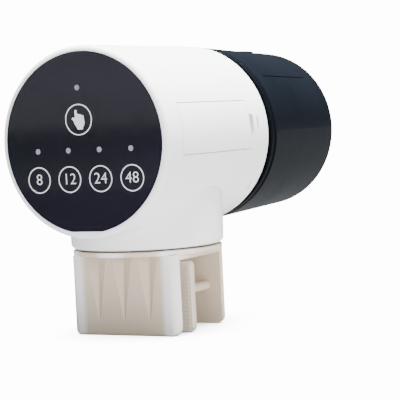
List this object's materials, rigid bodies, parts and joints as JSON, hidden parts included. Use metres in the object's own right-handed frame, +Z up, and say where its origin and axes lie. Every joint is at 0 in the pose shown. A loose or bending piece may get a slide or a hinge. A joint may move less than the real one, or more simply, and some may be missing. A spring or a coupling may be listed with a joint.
{
  "type": "automatic fish feeder",
  "caption": "Aquarium feeder: a tubular housing with a touch panel, a turning smoke-black food drum with a dose gate, and a screw clamp bracket that grips the tank's rim.",
  "frame": {"origin": "on the surface the bracket's feet stand on, under the middle of the feeder's length and width", "axes": "+Z up, +Y from the touch panel towards the food drum along the tube's axis, +X to the right as seen from the panel"},
  "size_m": [0.077, 0.1658, 0.1181],
  "materials": {
    "housing_white": "satin white ABS",
    "panel_black": "polished black acrylic",
    "drum_smoke": "polished smoke-black plastic",
    "bracket_ivory": "satin warm white ABS",
    "foam_black": "soft foam",
    "seal_rubber": "moulded rubber",
    "board_green": "solder mask",
    "guide_clear": "clear acrylic",
    "led_resin": "clear resin",
    "chip_black": "moulded epoxy",
    "steel": "zinc plated",
    "cell_wrap": "plain printed sleeve",
    "contact_metal": "nickel plated",
    "tray_white": "moulded ABS",
    "gear_acetal": "natural acetal",
    "motor_metal": "plated can",
    "motor_cap_black": "moulded nylon",
    "wire_red": "vinyl lead",
    "bush_brass": "turned",
    "frame_grey": "moulded ABS"
  },
  "bodies": {
    "bracket": {"clamp_bracket": "bracket_ivory", "swivel_washer": "seal_rubber", "swivel_retainer": "bracket_ivory", "swivel_screw": "steel", "thread_insert": "bracket_ivory"},
    "jaw": {"clamp_jaw": "bracket_ivory", "tip_clip": "steel", "guide_pins": "bracket_ivory"},
    "screw": {"clamp_screw": "bracket_ivory", "clamp_knob": "bracket_ivory"},
    "housing": {"main_housing": "housing_white", "front_panel": "panel_black", "panel_gasket": "foam_black", "touch_board": "board_green", "touch_pads": "foam_black", "led_light_guides": "guide_clear", "indicator_leds": "led_resin", "control_chip": "chip_black", "board_screws": "steel", "battery_box": "tray_white", "aa_cell_outer": "cell_wrap", "aa_cell_inner": "cell_wrap", "battery_springs": "contact_metal", "battery_contacts": "contact_metal", "motor_can": "motor_metal", "motor_cap": "motor_cap_black", "motor_wires": "wire_red", "gearbox_plate": "frame_grey", "gear_axles": "steel", "output_bush": "bush_brass", "rear_bulkhead": "frame_grey", "gearbox_screws": "steel", "bulkhead_screws": "steel"},
    "door": {"battery_door": "housing_white"},
    "motor_rotor": {"motor_shaft": "steel", "motor_pinion": "gear_acetal"},
    "gear_a": {"compound_gear_a": "gear_acetal"},
    "gear_b": {"compound_gear_b": "gear_acetal"},
    "drive": {"output_gear": "gear_acetal", "output_shaft": "steel", "drum_lid": "drum_smoke", "lid_seal": "seal_rubber", "hub_screw": "steel"},
    "drum": {"drum_cup": "drum_smoke"},
    "gate": {"dose_gate": "drum_smoke"}
  },
  "joints": [
    {"name": "swivel", "type": "hinge", "parent": "bracket", "child": "housing", "pos_m": [0, -0.0363, 0.0352], "axis": [0, 0, 1], "continuous": true},
    {"name": "screw_turn", "type": "hinge", "parent": "jaw", "child": "screw", "pos_m": [0, -0.0229, 0.0163], "axis": [0, 1, 0], "range_deg": [-906, 1434]},
    {"name": "jaw_slide", "type": "slide", "parent": "bracket", "child": "jaw", "axis": [0, 1, 0], "range_m": [-0.0076, 0.012]},
    {"name": "battery_door_open", "type": "hinge", "parent": "housing", "child": "door", "pos_m": [0.0383, -0.0705, 0.083], "axis": [0, 0, -1], "range_deg": [0, 60]},
    {"name": "drum_spin", "type": "hinge", "parent": "housing", "child": "drive", "pos_m": [0, 0.0091, 0.0796], "axis": [0, 1, 0], "continuous": true},
    {"name": "gear_b_spin", "type": "hinge", "parent": "housing", "child": "gear_b", "pos_m": [0, -0.0049, 0.0616], "axis": [0, 1, 0], "continuous": true},
    {"name": "gear_a_spin", "type": "hinge", "parent": "housing", "child": "gear_a", "pos_m": [-0.01351, -0.0049, 0.0694], "axis": [0, 1, 0], "continuous": true},
    {"name": "motor_spin", "type": "hinge", "parent": "housing", "child": "motor_rotor", "pos_m": [-0.01885, -0.0049, 0.08406], "axis": [0, 1, 0], "continuous": true},
    {"name": "drum_pull", "type": "slide", "parent": "drive", "child": "drum", "axis": [0, 1, 0], "range_m": [0, 0.04]},
    {"name": "gate_turn", "type": "hinge", "parent": "drum", "child": "gate", "pos_m": [0, 0.0446, 0.0796], "axis": [0, -1, 0], "range_deg": [0, 60]}
  ],
  "couplings": [
    {"joint": "gear_b_spin", "follows": "drum_spin", "ratio": -4},
    {"joint": "gear_a_spin", "follows": "drum_spin", "ratio": 13.333},
    {"joint": "motor_spin", "follows": "drum_spin", "ratio": -44.444},
    {"joint": "jaw_slide", "follows": "screw_turn", "m_per_rad": 0.00047746}
  ]
}
